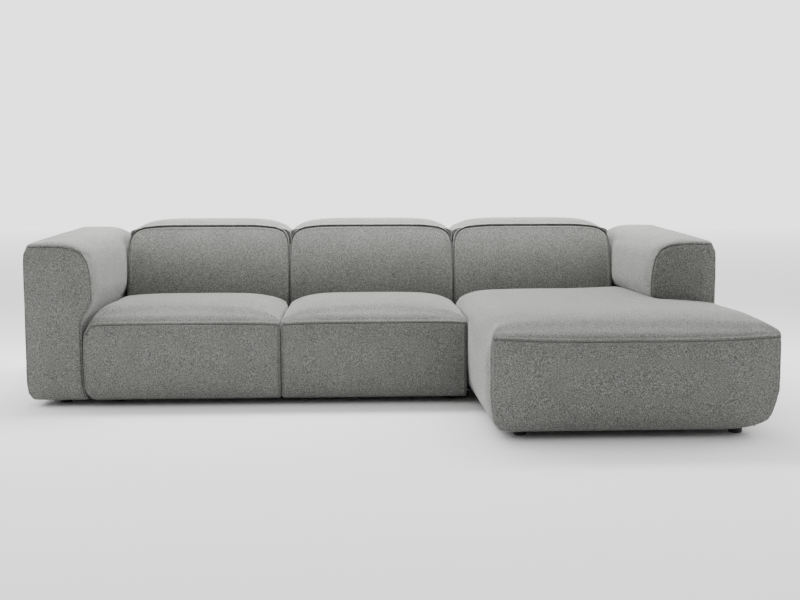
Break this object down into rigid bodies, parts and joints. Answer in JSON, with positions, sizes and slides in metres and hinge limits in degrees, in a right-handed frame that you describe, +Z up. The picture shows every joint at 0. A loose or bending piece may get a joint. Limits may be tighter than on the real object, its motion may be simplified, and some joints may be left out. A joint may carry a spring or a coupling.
{
  "type": "corner sofa",
  "caption": "Low modular corner sofa with padded fabric seats, reclined backs, headrests that fold up, padded arms, a chaise on the right and short round feet.",
  "frame": {"origin": "on the floor, under the middle of the sofa's overall width and depth", "axes": "+X to the right as the sofa is seen from the front, +Y to its rear, +Z up"},
  "size_m": [3, 1.7583, 0.7873],
  "materials": {
    "cover_fabric": "matte",
    "foam": "matte",
    "timber": "matte",
    "webbing": "matte",
    "steel": "satin",
    "dust_cloth": "matte",
    "foot_plastic": "satin"
  },
  "bodies": {
    "sofa": {"arm_cover_left": "cover_fabric", "arm_cover_right": "cover_fabric", "arm_frame_left": "timber", "arm_frame_right": "timber", "back_core_left": "foam", "back_core_middle": "foam", "back_core_right": "foam", "back_cover_left": "cover_fabric", "back_cover_middle": "cover_fabric", "back_cover_right": "cover_fabric", "back_frame_chaise": "timber", "back_frame_two_seat": "timber", "base_frame_chaise": "timber", "base_frame_two_seat": "timber", "chaise_core": "foam", "chaise_cover": "cover_fabric", "chaise_webbing": "webbing", "dust_cloth_arm_left": "dust_cloth", "dust_cloth_arm_right": "dust_cloth", "dust_cloth_chaise": "dust_cloth", "dust_cloth_two_seat": "dust_cloth", "foot_arm_left_front": "foot_plastic", "foot_arm_left_rear": "foot_plastic", "foot_arm_right_rear": "foot_plastic", "foot_chaise_left_front": "foot_plastic", "foot_chaise_left_rear": "foot_plastic", "foot_chaise_right_front": "foot_plastic", "foot_two_seat_left_front": "foot_plastic", "foot_two_seat_left_rear": "foot_plastic", "foot_two_seat_right_front": "foot_plastic", "foot_two_seat_right_rear": "foot_plastic", "headrest_bracket_left_left": "steel", "headrest_bracket_left_right": "steel", "headrest_bracket_middle_left": "steel", "headrest_bracket_middle_right": "steel", "headrest_bracket_right_left": "steel", "headrest_bracket_right_right": "steel", "link_plate_front_left": "steel", "link_plate_front_right": "steel", "link_plate_rear_left": "steel", "link_plate_rear_right": "steel", "rear_cover_chaise": "cover_fabric", "rear_cover_two_seat": "cover_fabric", "seat_core_left": "foam", "seat_core_middle": "foam", "seat_cover_left": "cover_fabric", "seat_cover_middle": "cover_fabric", "seat_webbing": "webbing"},
    "headrest_left": {"headrest_pad_left": "cover_fabric", "headrest_board_left": "timber", "headrest_leaf_left_left": "steel", "headrest_leaf_left_right": "steel"},
    "headrest_middle": {"headrest_pad_middle": "cover_fabric", "headrest_board_middle": "timber", "headrest_leaf_middle_left": "steel", "headrest_leaf_middle_right": "steel"},
    "headrest_right": {"headrest_pad_right": "cover_fabric", "headrest_board_right": "timber", "headrest_leaf_right_left": "steel", "headrest_leaf_right_right": "steel"}
  },
  "joints": [
    {"name": "headrest_left_fold", "type": "hinge", "parent": "sofa", "child": "headrest_left", "pos_m": [-0.79725, 0.647, 0.735], "axis": [1, 0, 0], "range_deg": [0, 90]},
    {"name": "headrest_middle_fold", "type": "hinge", "parent": "sofa", "child": "headrest_middle", "pos_m": [0, 0.647, 0.735], "axis": [1, 0, 0], "range_deg": [0, 90]},
    {"name": "headrest_right_fold", "type": "hinge", "parent": "sofa", "child": "headrest_right", "pos_m": [0.79725, 0.647, 0.735], "axis": [1, 0, 0], "range_deg": [0, 90]}
  ]
}
